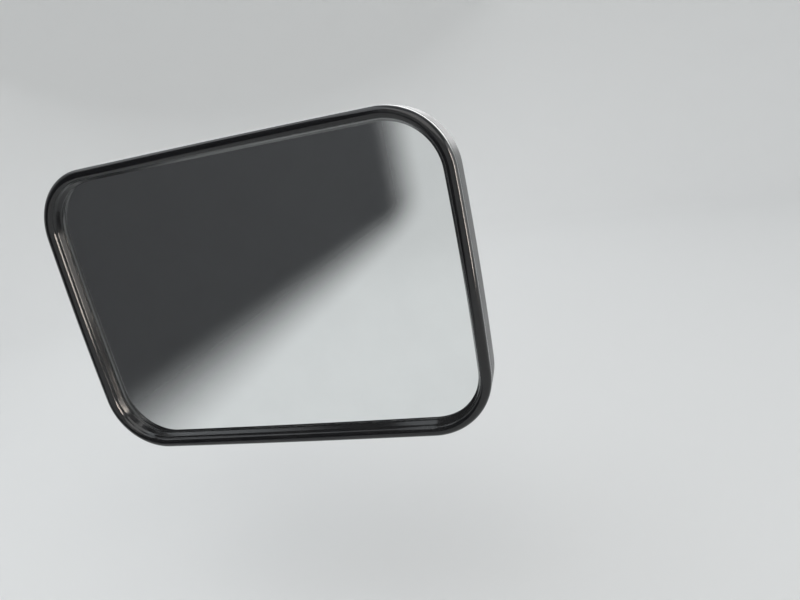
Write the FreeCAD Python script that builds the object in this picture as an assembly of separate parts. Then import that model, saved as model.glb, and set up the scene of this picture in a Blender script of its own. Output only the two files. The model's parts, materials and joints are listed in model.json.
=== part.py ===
"""Side mirror of a side by side utility vehicle, in millimetres.

+Z runs up the roll cage tube that the clamp grips, +X points outboard and the glass faces -Y, rearward.
The origin is the centre of the clamp's bore. The head is even about z = 0, so the mirror serves either side
of the vehicle when it is turned upside down.
"""

import FreeCAD
import Part

import math
import os

from FreeCAD import Vector

# Tube clamp
tube_d = 44.5            # roll cage tube
liner_t = 2.5            # rubber between tube and clamp
liner_lip = 1.6          # lip of the liner over each end of the clamp, in height and beyond the bore
clamp_wall = 6.0
clamp_h = 40.0
clamp_gap = 3.0          # between the two halves, for tightening
flange_t = 9.0
flange_reach = 15.0      # from the outside of the ring to the end of a flange
flange_corner = 6.0
band_w = 6.0             # raised band round the cap, one near each end
band_proud = 1.6
band_edge = 4.0          # from the end of the cap to the band

# Fasteners of the clamp and of the fold
bolt_d = 8.0             # clamp screws and fold bolt
bolt_play = 0.2          # radial, in the clamp's holes
fold_play = 0.06         # radial, of the arm on its bolt
socket_head_d = 13.0
socket_head_h = 8.0
socket_hex_af = 6.0
socket_hex_depth = 4.0
bolt_head_h = 5.3        # hex head of the fold bolt
nut_af = 13.0
nut_h = 8.0
nut_play = 0.05          # radial, between a nut and its bolt
bolt_end = 2.0           # thread past a nut
washer_od = 16.0
washer_t = 1.6

# Fold knuckle between clamp and arm
eye_r = 13.0
eye_h = 24.0
slip_t = 1.0             # nylon washer each side of the eye
slip_play = 0.1
knuckle_gap = 4.0        # from the ring to the eye

# Arm
arm_reach = 142.0        # from fold bolt to ball, outboard
arm_step = 43.0          # from fold bolt to the middle of the arm's end, rearward
arm_edge = 2.5           # chamfer of the bar's long edges
pocket_rim = 3.2         # wall left round the pockets above and below
pocket_web = 8.0         # between the two pockets
pocket_ends = 27.0       # from the fold bolt or the ball to a pocket
end_boss_r = 12.0
end_boss_l = 19.0

# Share of the reach, width in plan and height of the bar's sections
arm_sections = [
    (0.00, 18.0, 22.0),
    (0.25, 15.5, 19.5),
    (0.50, 14.0, 18.0),
    (0.75, 13.5, 17.5),
    (1.00, 15.0, 18.5),
]

# Ball stud
ball_r = 11.0
neck_r = 5.0
neck_l = 21.0            # from the ball's centre to the collar
collar_r = 9.0
collar_t = 3.0
stud_nut_af = 15.0
stud_nut_h = 6.0

# Friction ring and socket: cones that touch the ball and the ring on circles
ring_play = 0.1          # on each face of the friction ring
ring_t = 2.4             # from the ball to the ring's corners, which turn in the socket
ring_touch = 70.0        # of the ball on the ring, in degrees from the stud's axis
ring_mouth = 58.0        # of the ring's end corners, in degrees from the same axis
ring_side = 78.0         # of its side corners, in degrees
ring_split = 1.6
seat_touch = 60.0        # of the ring on the socket's cones, in degrees
socket_r = 25.0          # outside of the socket and of its cap
socket_floor = 4.0       # behind the ring
socket_skirt = 8.0       # spread of the socket's foot on the housing
cap_t = 9.0
cap_throat = 6.8         # from the ball's centre to the cap's throat
cap_flare = 3.0          # how much the mouth widens from the throat to the face
cap_edge = 2.0           # chamfer round the cap's face
socket_screw_pcd = 39.0
socket_screw_d = 4.0
socket_screw_l = 20.0
socket_screw_play = 0.1
screw_head_d = 7.6
screw_head_h = 3.0
screw_head_play = 0.4
screw_cross_t = 1.1      # width of the cross recess
screw_cross_l = 4.6      # and its length

# Head
head_w = 260.0
head_h = 186.0
corner_r = 38.0
side_bow = 2.0           # how far the side edges bow out
top_bow = 0.8            # the same for the top and bottom edges
shell_depth = 35.0       # from the rim's joint to the back
shell_wall = 2.6
shell_draft = 2.0        # of the sides, in degrees
side_round = 18.0        # radius from the sides towards the back
back_round = 55.0        # radius from there into the flat back
round_change = 75.0      # turn at which the one round follows the other, in degrees
back_sink = 5.0          # from the ball's centre down to the back
rib_t = 2.0
rib_h = 9.0
rib_clear = 2.0          # from the edge of the flat back to the ends of the ribs
drain_w = 12.0
drain_h = 3.0
drain_at = 62.0          # from the middle to each drain slot
drain_back = 9.0         # from the rim's joint to a drain slot

# Rim: a half round bead with a lip over the glass and a skirt inside the housing
bead_w = 6.5
bead_back = 2.5          # from the bead's widest line to the joint with the housing
lip_in = 7.8             # edge of the lip, inside the bead's outside
lip_t = 1.0              # thickness of that edge
glass_sink = 4.5         # from the bead's widest line back to the glass
glass_t = 3.0
glass_lap = 2.3          # of the lip over the glass
glass_play = 0.3
skirt_t = 1.6
skirt_play = 0.25
skirt_l = 9.5            # from the joint into the housing

cut_past = 1.0           # how far a cutting tool runs past what it cuts

# Worked out from the sizes above
tube_r = tube_d / 2
seat_r = tube_r + liner_t
ring_r = seat_r + clamp_wall
flange_y = ring_r + flange_reach
screw_y = ring_r + flange_reach / 2
fold_x = ring_r + knuckle_gap + eye_r
ball_x = fold_x + arm_reach
ear_low = eye_h / 2 + slip_t + slip_play
ear_t = clamp_h / 2 - ear_low
arm_end_y = -arm_step
boss_front_y = arm_end_y - end_boss_l / 2
ball_y = boss_front_y - collar_t - neck_l
ring_corner_r = ball_r + ring_t
swivel_r = ring_corner_r + ring_play
back_y = ball_y - back_sink
joint_y = back_y - shell_depth
bead_y = joint_y - bead_back
glass_y = bead_y + glass_sink
glass_in = lip_in - glass_lap
socket_base_y = ball_y - swivel_r - socket_floor
half_w = head_w / 2
half_h = head_h / 2
side_bow_r = (half_h**2 + side_bow**2) / (2 * side_bow)
top_bow_r = (half_w**2 + top_bow**2) / (2 * top_bow)

X = Vector(1, 0, 0)
Y = Vector(0, 1, 0)
Z = Vector(0, 0, 1)


def disc(r, low, high, axis, at):
    """A cylinder round the line through `at` along `axis`, between two distances from `at`."""
    return Part.makeCylinder(r, high - low, at + axis * low, axis)


def prism(points, low, high):
    """A solid with flat sides: plan points in X and Y, from one height to another."""
    corners = [Vector(x, y, low) for x, y in points]
    return Part.Face(Part.makePolygon(corners + corners[:1])).extrude(Z * (high - low))


def hexagon(across_flats, low, high, axis, at):
    """A hexagonal bar round the line through `at` along `axis`."""
    side = axis.cross(X) if abs(axis.dot(X)) < 0.5 else axis.cross(Y)
    side.normalize()
    other = axis.cross(side)
    reach = across_flats / math.sqrt(3)
    corners = []
    for i in range(6):
        turn = math.radians(60 * i)
        corners.append(at + axis * low + side * (reach * math.cos(turn)) + other * (reach * math.sin(turn)))
    return Part.Face(Part.makePolygon(corners + corners[:1])).extrude(axis * (high - low))


def fillet_where(shape, radius, keep):
    """Rounds the edges whose bounding box the test accepts."""
    edges = [edge for edge in shape.Edges if keep(edge.BoundBox)]
    return shape.makeFillet(radius, edges)


def arc(start, middle, end):
    return Part.Arc(start, middle, end).toShape()


# Head outline

def outline(inset, y):
    """The head's outline, drawn in by `inset`, as a closed wire at one depth that starts at the right.

    Four wide arcs and four corner arcs meet in tangents, and an inset keeps their centres.
    """
    side_c = half_w - side_bow_r
    top_c = half_h - top_bow_r
    to_side = side_bow_r - corner_r
    to_top = top_bow_r - corner_r
    apart = math.hypot(side_c, top_c)
    along = (to_side**2 - to_top**2 + apart**2) / (2 * apart)
    off = math.sqrt(to_side**2 - along**2)
    ux, uz = -side_c / apart, top_c / apart
    cx = side_c + ux * along - uz * off
    cz = uz * along + ux * off
    side_dir = ((cx - side_c) / to_side, cz / to_side)
    top_dir = (cx / to_top, (cz - top_c) / to_top)
    between = math.hypot(side_dir[0] + top_dir[0], side_dir[1] + top_dir[1])
    reach = corner_r - inset
    on_side = (side_c + side_dir[0] * (side_bow_r - inset), side_dir[1] * (side_bow_r - inset))
    on_top = (top_dir[0] * (top_bow_r - inset), top_c + top_dir[1] * (top_bow_r - inset))
    on_corner = (cx + reach * (side_dir[0] + top_dir[0]) / between,
                 cz + reach * (side_dir[1] + top_dir[1]) / between)
    right = (half_w - inset, 0)
    side_turn = math.asin(side_dir[1]) / 2
    on_half = (side_c + (side_bow_r - inset) * math.cos(side_turn), (side_bow_r - inset) * math.sin(side_turn))

    def place(point, sx=1, sz=1):
        return Vector(ball_x + sx * point[0], y, sz * point[1])

    edges = [arc(place(right), place(on_half), place(on_side)),
             arc(place(on_side), place(on_corner), place(on_top)),
             arc(place(on_top), place((0, half_h - inset)), place(on_top, -1)),
             arc(place(on_top, -1), place(on_corner, -1), place(on_side, -1)),
             arc(place(on_side, -1), place(right, -1), place(on_side, -1, -1)),
             arc(place(on_side, -1, -1), place(on_corner, -1, -1), place(on_top, -1, -1)),
             arc(place(on_top, -1, -1), place((0, half_h - inset), 1, -1), place(on_top, 1, -1)),
             arc(place(on_top, 1, -1), place(on_corner, 1, -1), place(on_side, 1, -1)),
             arc(place(on_side, 1, -1), place(on_half, 1, -1), place(right))]
    return Part.Wire(edges)


# Tube clamp

def half_clamp(side):
    """The ring and its two flanges on one side of the split: +1 outboard, -1 inboard."""
    ring = disc(ring_r, -clamp_h / 2, clamp_h / 2, Z, Vector())
    near = side * clamp_gap / 2
    far = near + side * flange_t
    flanges = Part.makeBox(flange_t, 2 * flange_y, clamp_h, Vector(min(near, far), -flange_y, -clamp_h / 2))
    flanges = fillet_where(flanges, flange_corner,
                           lambda box: box.XLength > flange_t / 2 and max(box.YLength, box.ZLength) < flange_t / 2)
    half_space = Part.makeBox(2 * ring_r, 2 * flange_y, clamp_h,
                              Vector(near if side > 0 else near - 2 * ring_r, -flange_y, -clamp_h / 2))
    body = ring.fuse(flanges).common(half_space)
    for hand in (-1, 1):
        hole = disc(bolt_d / 2 + bolt_play, -2 * flange_t, 2 * flange_t, X, Vector(0, hand * screw_y, 0))
        body = body.cut(hole)
    return body


def clamp_bore():
    return disc(seat_r, -clamp_h, clamp_h, Z, Vector())


def clamp_saddle():
    """The outboard half, with two ears that carry the fold bolt."""
    body = half_clamp(1)
    lean = math.asin((ring_r - eye_r) / fold_x)
    tangent = Vector(math.sin(lean), math.cos(lean), 0)
    start = clamp_gap / 2 + flange_t / 2
    for low in (ear_low, -clamp_h / 2):
        ring_at = tangent * ring_r
        eye_at = Vector(fold_x, 0, 0) + tangent * eye_r
        web = prism([(start, ring_at.y), (ring_at.x, ring_at.y), (eye_at.x, eye_at.y),
                     (eye_at.x, -eye_at.y), (ring_at.x, -ring_at.y), (start, -ring_at.y)], low, low + ear_t)
        nose = disc(eye_r, low, low + ear_t, Z, Vector(fold_x, 0, 0))
        body = body.fuse(web).fuse(nose)
    body = body.cut(clamp_bore())
    body = body.cut(disc(bolt_d / 2 + bolt_play, -clamp_h, clamp_h, Z, Vector(fold_x, 0, 0)))
    return body.removeSplitter()


def clamp_cap():
    """The inboard half, with a raised band round each end."""
    body = half_clamp(-1)
    inboard = Part.makeBox(2 * ring_r, 4 * ring_r, clamp_h,
                           Vector(-2 * ring_r - clamp_gap / 2 - flange_t, -2 * ring_r, -clamp_h / 2))
    for low in (-clamp_h / 2 + band_edge, clamp_h / 2 - band_edge - band_w):
        band = disc(ring_r + band_proud, low, low + band_w, Z, Vector()).common(inboard)
        body = body.fuse(band)
    return body.cut(clamp_bore()).removeSplitter()


def liner():
    """Two rubber half sleeves with lips over the clamp's ends."""
    halves = []
    for side in (-1, 1):
        sleeve = disc(seat_r, -clamp_h / 2 - liner_lip, clamp_h / 2 + liner_lip, Z, Vector())
        for end in (-clamp_h / 2 - liner_lip, clamp_h / 2):
            sleeve = sleeve.fuse(disc(seat_r + liner_lip, end, end + liner_lip, Z, Vector()))
        sleeve = sleeve.cut(disc(tube_r, -clamp_h, clamp_h, Z, Vector()))
        room = Part.makeBox(2 * ring_r, 2 * ring_r, 2 * clamp_h,
                            Vector(clamp_gap / 2 if side > 0 else -clamp_gap / 2 - 2 * ring_r, -ring_r, -clamp_h))
        halves.append(sleeve.common(room).removeSplitter())
    return Part.makeCompound(halves)


def clamp_screws():
    """Two socket head screws that close the clamp, with their heads inboard."""
    screws = []
    seat = -(clamp_gap / 2 + flange_t)
    end = -seat + nut_h + bolt_end
    for hand in (-1, 1):
        at = Vector(0, hand * screw_y, 0)
        head = disc(socket_head_d / 2, seat - socket_head_h, seat, X, at)
        head = head.fuse(disc(bolt_d / 2, seat, end, X, at))
        recess = hexagon(socket_hex_af, seat - socket_head_h, seat - socket_head_h + socket_hex_depth, X, at)
        screws.append(head.cut(recess))
    return Part.makeCompound(screws)


def clamp_nuts():
    nuts = []
    seat = clamp_gap / 2 + flange_t
    for hand in (-1, 1):
        at = Vector(0, hand * screw_y, 0)
        nut = hexagon(nut_af, seat, seat + nut_h, X, at)
        nuts.append(nut.cut(disc(bolt_d / 2 + nut_play, seat - cut_past, seat + nut_h + cut_past, X, at)))
    return Part.makeCompound(nuts)


# Fold knuckle

def fold_bolt():
    """Hex bolt through both ears, with its head on top."""
    at = Vector(fold_x, 0, 0)
    seat = clamp_h / 2 + washer_t
    end = -seat - nut_h - bolt_end
    head = hexagon(nut_af, seat, seat + bolt_head_h, Z, at)
    return disc(bolt_d / 2, end, seat, Z, at).fuse(head)


def fold_nut():
    at = Vector(fold_x, 0, 0)
    seat = -clamp_h / 2 - washer_t
    nut = hexagon(nut_af, seat - nut_h, seat, Z, at)
    return nut.cut(disc(bolt_d / 2 + nut_play, seat - nut_h - cut_past, seat + cut_past, Z, at))


def ring_washers(outer, thick, seats, play):
    """Flat washers round the fold bolt, one from each of the given heights up."""
    at = Vector(fold_x, 0, 0)
    washers = []
    for seat in seats:
        washer = disc(outer, seat, seat + thick, Z, at)
        washers.append(washer.cut(disc(bolt_d / 2 + play, seat - cut_past, seat + thick + cut_past, Z, at)))
    return Part.makeCompound(washers)


# Arm

def arm_line(share):
    """Point of the bar's middle line and its direction, in plan, at a share of the reach."""
    x = fold_x + arm_reach * share
    y = -arm_step * (1 - math.cos(math.pi * share)) / 2
    slope = -arm_step * math.pi * math.sin(math.pi * share) / 2 / arm_reach
    return Vector(x, y, 0), Vector(1, slope, 0).normalize()


def bar_section(at, across, width, height, edge):
    """Upright rectangle with chamfered corners as a wire: `across` is its level direction."""
    w = width / 2
    h = height / 2
    corners = []
    for su, sv in ((1, 1), (-1, 1), (-1, -1), (1, -1)):
        side = at + across * (su * w) + Z * (sv * (h - edge))
        level = at + across * (su * (w - edge)) + Z * (sv * h)
        corners += [side, level] if su * sv > 0 else [level, side]
    return Part.makePolygon(corners + corners[:1])


def arm_bar(inset, height):
    """The bar through its sections, drawn in by `inset`; a height replaces the sections' own."""
    wires = []
    for share, width, own_height in arm_sections:
        at, along = arm_line(share)
        tall = height or own_height
        wires.append(bar_section(at, along.cross(Z), width - 2 * inset, tall, max(arm_edge - inset, arm_edge / 5)))
    return Part.makeLoft(wires, True, False)


def arm():
    """Cast arm: an eye on the fold bolt, a bar pocketed above and below, and a boss for the ball stud."""
    body = arm_bar(0, None)
    core = arm_bar(pocket_rim, 2 * eye_h)
    for low in (pocket_web / 2, -pocket_web / 2 - eye_h):
        span = Part.makeBox(arm_reach - 2 * pocket_ends, arm_step + 2 * eye_r, eye_h,
                            Vector(fold_x + pocket_ends, arm_end_y - eye_r, low))
        body = body.cut(core.common(span))
    boss_at = Vector(ball_x, arm_end_y, 0)
    eye = disc(eye_r, -eye_h / 2, eye_h / 2, Z, Vector(fold_x, 0, 0))
    boss = disc(end_boss_r, -end_boss_l / 2, end_boss_l / 2, Y, boss_at)
    body = body.multiFuse([eye, boss])
    body = body.cut(disc(bolt_d / 2 + fold_play, -eye_h, eye_h, Z, Vector(fold_x, 0, 0)))
    body = body.cut(disc(neck_r + nut_play, -end_boss_l, end_boss_l, Y, boss_at))
    return body.removeSplitter()


def ball_stud():
    """Steel ball, neck, collar and shank in one piece."""
    at = Vector(ball_x, ball_y, 0)
    back = arm_end_y + end_boss_l / 2 - ball_y
    stud = Part.makeSphere(ball_r, at)
    stud = stud.fuse(disc(neck_r, 0, back + stud_nut_h + bolt_end, Y, at))
    return stud.fuse(disc(collar_r, neck_l, neck_l + collar_t, Y, at)).removeSplitter()


def stud_nut():
    at = Vector(ball_x, arm_end_y + end_boss_l / 2, 0)
    nut = hexagon(stud_nut_af, 0, stud_nut_h, Y, at)
    return nut.cut(disc(neck_r + nut_play, -cut_past, stud_nut_h + cut_past, Y, at))


# Ball socket

def turned(points):
    """Solid turned round the stud's axis from (radius, distance along Y from the ball's centre) points."""
    corners = [Vector(ball_x + r, ball_y + y, 0) for r, y in points]
    face = Part.Face(Part.makePolygon(corners + corners[:1]))
    return face.revolve(Vector(ball_x, ball_y, 0), Y, 360)


def on_ball(r, degrees):
    """Point at a radius from the ball's centre, at an angle from the stud's axis."""
    return (r * math.sin(math.radians(degrees)), r * math.cos(math.radians(degrees)))


def on_cone(r, touch, y):
    """Radius at height `y` of a cone that touches a ball of radius `r` at an angle from its axis."""
    return (r - y * math.cos(math.radians(touch))) / math.sin(math.radians(touch))


def friction_ring():
    """Nylon ring that grips the ball on both sides of its middle, split so that it springs."""
    inner = ball_r + ring_play
    mouth = on_ball(ring_corner_r, ring_mouth)
    side = on_ball(ring_corner_r, ring_side)
    end_r = on_cone(inner, ring_touch, mouth[1])
    ring = turned([mouth, side, (side[0], -side[1]), (mouth[0], -mouth[1]), (end_r, -mouth[1]),
                   (on_cone(inner, ring_touch, 0), 0), (end_r, mouth[1])])
    split = Part.makeBox(2 * ring_corner_r, 2 * ring_corner_r, ring_split,
                         Vector(ball_x, ball_y - ring_corner_r, -ring_split / 2))
    return ring.cut(split)


def socket_void():
    """The space that the ring turns in: a bore that ends in a cone each way, and the cap's flared mouth."""
    r = swivel_r
    straight = (r - r * math.sin(math.radians(seat_touch))) / math.cos(math.radians(seat_touch))
    throat_r = on_cone(r, seat_touch, cap_throat)
    return turned([(0, -r), (on_cone(r, seat_touch, r), -r), (r, -straight), (r, straight),
                   (throat_r, cap_throat), (throat_r + cap_flare, cap_t),
                   (throat_r + cap_flare, cap_t + cut_past), (0, cap_t + cut_past)])


def socket_screw_places():
    """The four screws lie on the diagonals."""
    places = []
    for i in range(4):
        turn = math.radians(45 + 90 * i)
        places.append(Vector(ball_x + socket_screw_pcd / 2 * math.cos(turn), ball_y,
                             socket_screw_pcd / 2 * math.sin(turn)))
    return places


def socket_cap():
    """Ring that holds the ball in, flared for the neck, with sunk screw heads."""
    at = Vector(ball_x, ball_y, 0)
    cap = turned([(0, 0), (socket_r, 0), (socket_r, cap_t - cap_edge), (socket_r - cap_edge, cap_t), (0, cap_t)])
    cap = cap.cut(socket_void())
    for place in socket_screw_places():
        cap = cap.cut(disc(socket_screw_d / 2 + socket_screw_play, -cut_past, cap_t + cut_past, Y, place))
        cap = cap.cut(disc(screw_head_d / 2 + screw_head_play, cap_t - screw_head_h, cap_t + cut_past, Y, place))
    return cap


def socket_screws():
    screws = []
    for place in socket_screw_places():
        seat = cap_t - screw_head_h
        screw = disc(screw_head_d / 2, seat, cap_t, Y, place)
        screw = screw.fuse(disc(socket_screw_d / 2, cap_t - socket_screw_l, seat, Y, place))
        for wide, high in ((screw_cross_l, screw_cross_t), (screw_cross_t, screw_cross_l)):
            slot = Part.makeBox(wide, screw_head_h / 2, high,
                                place + Vector(-wide / 2, cap_t - screw_head_h / 2, -high / 2))
            screw = screw.cut(slot)
        screws.append(screw)
    return Part.makeCompound(screws)


# Head

def wall_profile(depth):
    """Edges of the housing's side from the joint to the flat back, at a depth in its wall, and where they end.

    The side is drafted and runs into the back through a small round and a wide one.
    """
    draft = math.radians(shell_draft)
    change = math.radians(round_change)
    side_l = (shell_depth - side_round * (math.sin(change) - math.sin(draft))
              - back_round * (1 - math.sin(change))) / math.cos(draft)
    side_end = (side_l * math.sin(draft), side_l * math.cos(draft))
    small_c = (side_end[0] + side_round * math.cos(draft), side_end[1] - side_round * math.sin(draft))
    apart = back_round - side_round
    wide_c = (small_c[0] + apart * math.cos(change), small_c[1] - apart * math.sin(change))

    def at(inset, y):
        return Vector(ball_x + half_w - inset, joint_y + y, 0)

    def on_round(centre, r, low, high):
        return [at(centre[0] - (r - depth) * math.cos(a), centre[1] + (r - depth) * math.sin(a))
                for a in (low, (low + high) / 2, high)]

    start = depth / math.cos(draft)
    small = on_round(small_c, side_round, draft, change)
    wide = on_round(wide_c, back_round, change, math.pi / 2)
    edges = [Part.makeLine(at(start, 0), small[0]), arc(*small), arc(*wide)]
    return Part.Wire(edges), start, wide_c[0]


def swept(profile, y):
    """Sweep of a profile round the head's outline."""
    sweep = Part.BRepOffsetAPI.MakePipeShell(outline(0, y))
    sweep.setBiNormalMode(Y)
    sweep.add(profile)
    sweep.build()
    return sweep


def housing_form(depth):
    """The housing's outside, or its hollow when drawn in by the wall, closed at the joint and at the back."""
    profile, start, flat = wall_profile(depth)
    side = swept(profile, joint_y).shape()
    front = Part.Face(outline(start, joint_y))
    back = Part.Face(outline(flat, back_y - depth))
    skin = Part.Shell(side.Faces + [front, back])
    skin.sewShape()
    form = Part.Solid(skin)
    if form.Volume < 0:
        form.reverse()
    return form


def ribs():
    """Three ribs on the flat of the back's inside that cross behind the socket."""
    low = back_y - shell_wall - rib_h
    _, _, flat = wall_profile(0)
    plates = []
    for angle in (-45, 0, 45):
        plate = Part.makeBox(head_w, rib_h + shell_wall / 2, rib_t, Vector(-half_w, low, -rib_t / 2))
        plate.rotate(Vector(), Y, angle)
        plate.translate(Vector(ball_x, 0, 0))
        plates.append(plate)
    inside = Part.Face(outline(flat + rib_clear, low)).extrude(Y * (rib_h + shell_wall))
    return plates[0].multiFuse(plates[1:]).common(inside)


def housing_shell():
    """Moulded housing: a wall of one thickness, with the ball's socket, ribs and drain slots."""
    foot_y = back_y - shell_wall / 2
    foot = Part.makeCone(socket_r + socket_skirt, socket_r, ball_y - foot_y, Vector(ball_x, foot_y, 0), Y)
    pod = disc(socket_r, socket_base_y - ball_y, 0, Y, Vector(ball_x, ball_y, 0))
    body = housing_form(0).cut(housing_form(shell_wall)).multiFuse([foot, pod, ribs()])
    body = body.cut(socket_void())
    for place in socket_screw_places():
        body = body.cut(disc(socket_screw_d / 2 + socket_screw_play, cap_t - socket_screw_l - cut_past, cut_past,
                             Y, place))
    for side in (-1, 1):
        slot = Part.makeBox(drain_w, drain_h, head_h,
                            Vector(ball_x + side * drain_at - drain_w / 2, joint_y + drain_back, -head_h))
        body = body.cut(slot)
    return body.removeSplitter()


def rim():
    """Bead, lip and skirt in one section, swept round the outline."""
    draft = math.radians(shell_draft)
    skirt_root = shell_wall / math.cos(draft) + skirt_play
    skirt_tip = skirt_root + skirt_l * math.tan(draft)
    inner = skirt_tip + skirt_t
    seat_in = glass_in - glass_play

    def at(inset, y):
        return Vector(ball_x + half_w - inset, y, 0)

    bead = arc(at(0, bead_y), at(bead_w / 2, bead_y - bead_w / 2), at(bead_w, bead_y))
    corners = [at(bead_w, bead_y), at(lip_in, glass_y - lip_t), at(lip_in, glass_y), at(seat_in, glass_y),
               at(seat_in, glass_y + glass_t), at(inner, glass_y + glass_t), at(inner, joint_y + skirt_l),
               at(skirt_tip, joint_y + skirt_l), at(skirt_root, joint_y), at(0, joint_y), at(0, bead_y)]
    lines = [Part.makeLine(a, b) for a, b in zip(corners, corners[1:])]
    sweep = swept(Part.Wire([bead] + lines), bead_y)
    sweep.makeSolid()
    return sweep.shape()


def mirror_glass():
    return Part.Face(outline(glass_in, glass_y)).extrude(Y * glass_t)


slip_seats = (-eye_h / 2 - slip_play - slip_t, eye_h / 2 + slip_play)
washer_seats = (-clamp_h / 2 - washer_t, clamp_h / 2)

nodes = {
    "clamp_saddle": clamp_saddle,
    "clamp_cap": clamp_cap,
    "clamp_liner": liner,
    "clamp_screws": clamp_screws,
    "clamp_nuts": clamp_nuts,
    "fold_bolt": fold_bolt,
    "fold_nut": fold_nut,
    "fold_washers": lambda: ring_washers(washer_od / 2, washer_t, washer_seats, nut_play),
    "slip_washers": lambda: ring_washers(eye_r, slip_t, slip_seats, nut_play),
    "arm": arm,
    "ball_stud": ball_stud,
    "stud_nut": stud_nut,
    "friction_ring": friction_ring,
    "socket_cap": socket_cap,
    "socket_screws": socket_screws,
    "housing_shell": housing_shell,
    "rim": rim,
    "mirror_glass": mirror_glass,
}


def main():
    os.makedirs("parts", exist_ok=True)
    for name, make in nodes.items():
        shape = make()
        if not shape.isValid():
            raise ValueError(name + " is not a valid solid")
        shape.exportStep("parts/" + name + ".step")
        print(name, len(shape.Solids), "solids", round(shape.Volume / 1000, 2), "cm3")


main()
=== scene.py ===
"""Dressed model of a side mirror that clamps round a roll cage tube.

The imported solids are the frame: each piece here stands where its solid stands and rides on the same body.
Sizes are in millimetres in the row frame, and a mesh is scaled to metres when it is made.
"""

import json
import logging
import math
from collections.abc import Callable, Sequence
from dataclasses import dataclass, field
from enum import Enum

import bmesh
import bpy
from mathutils import Matrix, Vector


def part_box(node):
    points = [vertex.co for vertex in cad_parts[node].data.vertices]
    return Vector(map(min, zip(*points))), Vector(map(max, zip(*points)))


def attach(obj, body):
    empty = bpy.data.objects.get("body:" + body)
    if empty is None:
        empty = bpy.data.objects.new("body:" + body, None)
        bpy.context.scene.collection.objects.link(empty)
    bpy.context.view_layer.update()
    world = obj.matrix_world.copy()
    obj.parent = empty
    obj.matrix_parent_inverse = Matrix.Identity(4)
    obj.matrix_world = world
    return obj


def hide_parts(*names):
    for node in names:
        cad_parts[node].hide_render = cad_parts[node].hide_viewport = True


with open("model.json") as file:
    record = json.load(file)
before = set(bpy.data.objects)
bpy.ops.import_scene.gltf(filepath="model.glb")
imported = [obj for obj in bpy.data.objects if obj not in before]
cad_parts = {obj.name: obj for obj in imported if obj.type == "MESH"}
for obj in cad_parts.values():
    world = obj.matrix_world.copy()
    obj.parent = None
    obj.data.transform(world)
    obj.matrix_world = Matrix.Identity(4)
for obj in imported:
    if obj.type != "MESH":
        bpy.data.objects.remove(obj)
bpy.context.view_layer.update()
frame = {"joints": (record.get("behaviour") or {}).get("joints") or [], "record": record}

log = logging.getLogger("side_mirror")

Point2 = tuple[float, float]
Corner = tuple[float, float, float]
Colour = tuple[float, float, float]
Shape = Callable[[float], float]
Rows = list[tuple[float, float | Shape]]
Piece = bpy.types.Object
Socket = bpy.types.NodeSocket

MM = 0.001
FULL = 2 * math.pi
QUARTER = math.pi / 2


# Measures from the frame


def low(node: str) -> Vector:
    """Lowest corner of a solid, in millimetres."""
    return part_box(node)[0] / MM


def high(node: str) -> Vector:
    """Highest corner of a solid, in millimetres."""
    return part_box(node)[1] / MM


def joint_at(name: str) -> Vector:
    """Place of a joint, in millimetres."""
    return next(Vector(joint["pos_m"]) / MM for joint in frame["joints"] if joint["name"] == name)


def slot_colour(slot: str) -> Colour:
    """Base colour that the record gives to a material slot."""
    return next(tuple(row["base_color"]) for row in frame["record"]["materials"] if row["slot"] == slot)


BALL = joint_at("head_tilt")
FOLD = joint_at("arm_fold")
TUBE_R = frame["record"]["mounts"][0]["dims"]["r_mm"]
X_AXIS, Y_AXIS, Z_AXIS = Vector((1, 0, 0)), Vector((0, 1, 0)), Vector((0, 0, 1))


# Profiles and meshes


def spread(first: float, last: float, steps: int) -> list[float]:
    """Even values from the first to the last."""
    return [first + (last - first) * k / steps for k in range(steps + 1)]


def rounded(corners: Sequence[Corner], closed: bool = True, steps: int = 5) -> list[Point2]:
    """Makes a polyline whose corners are arcs.

    Args:
        corners: The two coordinates and the radius of each corner.
        closed: Whether the last corner joins the first.
        steps: Segments of each arc.

    Returns:
        The points in order.
    """
    points: list[Point2] = []
    for i, (x, y, radius) in enumerate(corners):
        here = Vector((x, y))
        if radius <= 0 or (not closed and i in (0, len(corners) - 1)):
            points.append((x, y))
            continue
        back = Vector(corners[i - 1][:2]) - here
        ahead = Vector(corners[(i + 1) % len(corners)][:2]) - here
        half = back.angle(ahead) / 2
        cut = min(radius / math.tan(half), 0.49 * back.length, 0.49 * ahead.length)
        centre = here + (back.normalized() + ahead.normalized()).normalized() * (cut / math.cos(half))
        start = here + back.normalized() * cut - centre
        end = here + ahead.normalized() * cut - centre
        first = math.atan2(start.y, start.x)
        turn = (math.atan2(end.y, end.x) - first + math.pi) % FULL - math.pi
        for angle in spread(first, first + turn, steps):
            points.append((centre.x + start.length * math.cos(angle), centre.y + start.length * math.sin(angle)))
    return points


def arc(radius: float, first: float, last: float, steps: int, centre: float = 0.0) -> list[Point2]:
    """Points of an arc, from its first angle to its last, whose centre may stand off along the first coordinate."""
    return [(centre + radius * math.cos(angle), radius * math.sin(angle)) for angle in spread(first, last, steps)]


def oblong(u: Point2, v: Point2, radius: float = 0.0, steps: int = 5) -> list[Point2]:
    """Outline of an oblong between two values each way, with rounded corners."""
    return rounded([(a, b, radius) for a, b in ((u[0], v[0]), (u[1], v[0]), (u[1], v[1]), (u[0], v[1]))], steps=steps)


@dataclass(frozen=True)
class Axis:
    """A line that a piece is turned round, with the direction of angle zero."""

    at: Vector
    along: Vector
    side: Vector

    def point(self, height: float, radius: float, angle: float) -> Vector:
        """Point at a height along the axis, a radius and an angle."""
        other = self.along.cross(self.side)
        return self.at + self.along * height + (self.side * math.cos(angle) + other * math.sin(angle)) * radius


BALL_AXIS = Axis(BALL, Y_AXIS, X_AXIS)
FOLD_AXIS = Axis(FOLD, Z_AXIS, X_AXIS)


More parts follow.
